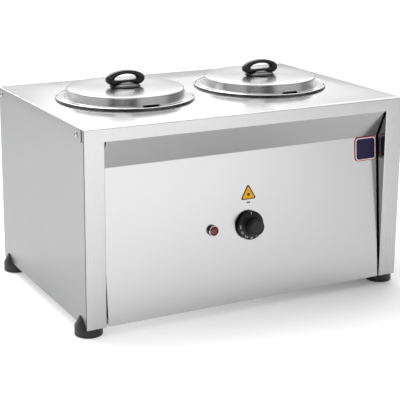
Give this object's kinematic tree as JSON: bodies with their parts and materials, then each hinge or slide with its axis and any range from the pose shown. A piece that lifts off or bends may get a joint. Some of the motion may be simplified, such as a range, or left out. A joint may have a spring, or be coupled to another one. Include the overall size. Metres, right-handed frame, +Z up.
{
  "type": "two-pot soup warmer",
  "caption": "Electric countertop soup warmer: folded steel cabinet with a water tank, lift-out round pots with lids, a thermostat knob and an indicator lamp.",
  "frame": {"origin": "on the floor under the middle of the whole object's box, knob, cable gland and foot ears included", "axes": "+X to the object's right seen from its front (the longest side), +Y from the front to the back, +Z up"},
  "size_m": [0.618, 0.4341, 0.3882],
  "materials": {
    "steel_sheet": "fine brushed stainless sheet, satin to semi-gloss",
    "pot_steel": "spun stainless with fine turned grain",
    "dish_steel": "domed satin steel, darker",
    "element_steel": "heat-tinted smooth tube",
    "zinc_hardware": "bright plated hardware",
    "brass_hardware": "machined, slightly dull",
    "bakelite": "black moulded, glossy",
    "foot_plastic": "black moulded, satin",
    "gland_plastic": "black moulded, satin",
    "seal_rubber": "black, matt",
    "lens_red": "dark red, glossy",
    "lamp_plastic": "pale moulded",
    "sticker_amber": "printed film",
    "badge_blue": "enamelled plate, glossy",
    "wire_blue": "insulation",
    "wire_brown": "insulation",
    "wire_green": "insulation"
  },
  "bodies": {
    "housing": {"top_cover": "steel_sheet", "front_frame": "steel_sheet", "left_side_panel": "steel_sheet", "right_side_panel": "steel_sheet", "back_panel": "steel_sheet", "base_plate": "steel_sheet", "control_panel": "steel_sheet", "water_tank": "steel_sheet", "heating_element": "element_steel", "heater_flange": "steel_sheet", "heater_gasket": "seal_rubber", "heater_nut_left": "brass_hardware", "heater_nut_right": "brass_hardware", "thermostat_body": "lamp_plastic", "thermostat_bulb": "zinc_hardware", "thermostat_screw_left": "zinc_hardware", "thermostat_screw_right": "zinc_hardware", "lamp_bezel": "zinc_hardware", "lamp_lens": "lens_red", "lamp_body": "lamp_plastic", "lamp_nut": "zinc_hardware", "terminal_block": "lamp_plastic", "wire_earth": "wire_green", "wire_neutral": "wire_blue", "wire_live": "wire_brown", "wire_lamp": "wire_blue", "cable_gland_body": "gland_plastic", "cable_gland_nut": "gland_plastic", "cable_gland_locknut": "gland_plastic", "cable_gland_seal": "seal_rubber", "earth_stud": "zinc_hardware", "earth_nut": "brass_hardware", "caution_sticker": "sticker_amber", "badge_plate": "badge_blue", "rear_screw_left": "zinc_hardware", "rear_screw_right": "zinc_hardware", "cover_screw_left_front": "zinc_hardware", "front_left_foot": "foot_plastic", "front_left_foot_screw": "zinc_hardware", "cover_screw_left_rear": "zinc_hardware", "rear_left_foot": "foot_plastic", "rear_left_foot_screw": "zinc_hardware", "cover_screw_right_front": "zinc_hardware", "front_right_foot": "foot_plastic", "front_right_foot_screw": "zinc_hardware", "cover_screw_right_rear": "zinc_hardware", "rear_right_foot": "foot_plastic", "rear_right_foot_screw": "zinc_hardware"},
    "control_knob": {"knob": "bakelite", "thermostat_shaft": "zinc_hardware"},
    "left_pot_body": {"left_pot": "pot_steel"},
    "left_lid_body": {"left_lid": "pot_steel", "left_handle_dish": "dish_steel", "left_lid_handle": "bakelite", "left_handle_screw": "zinc_hardware"},
    "right_pot_body": {"right_pot": "pot_steel"},
    "right_lid_body": {"right_lid": "pot_steel", "right_handle_dish": "dish_steel", "right_lid_handle": "bakelite", "right_handle_screw": "zinc_hardware"}
  },
  "joints": [
    {"name": "knob_turn", "type": "hinge", "parent": "housing", "child": "control_knob", "pos_m": [0, -0.1878, 0.147], "axis": [0, 0.9958, -0.0912], "range_deg": [0, 270]},
    {"name": "left_pot_lift", "type": "slide", "parent": "housing", "child": "left_pot_body", "axis": [0, 0, 1], "range_m": [0, 0.22]},
    {"name": "right_pot_lift", "type": "slide", "parent": "housing", "child": "right_pot_body", "axis": [0, 0, 1], "range_m": [0, 0.22]},
    {"name": "left_lid_lift", "type": "slide", "parent": "left_pot_body", "child": "left_lid_body", "axis": [0, 0, 1], "range_m": [0, 0.12]},
    {"name": "right_lid_lift", "type": "slide", "parent": "right_pot_body", "child": "right_lid_body", "axis": [0, 0, 1], "range_m": [0, 0.12]}
  ]
}
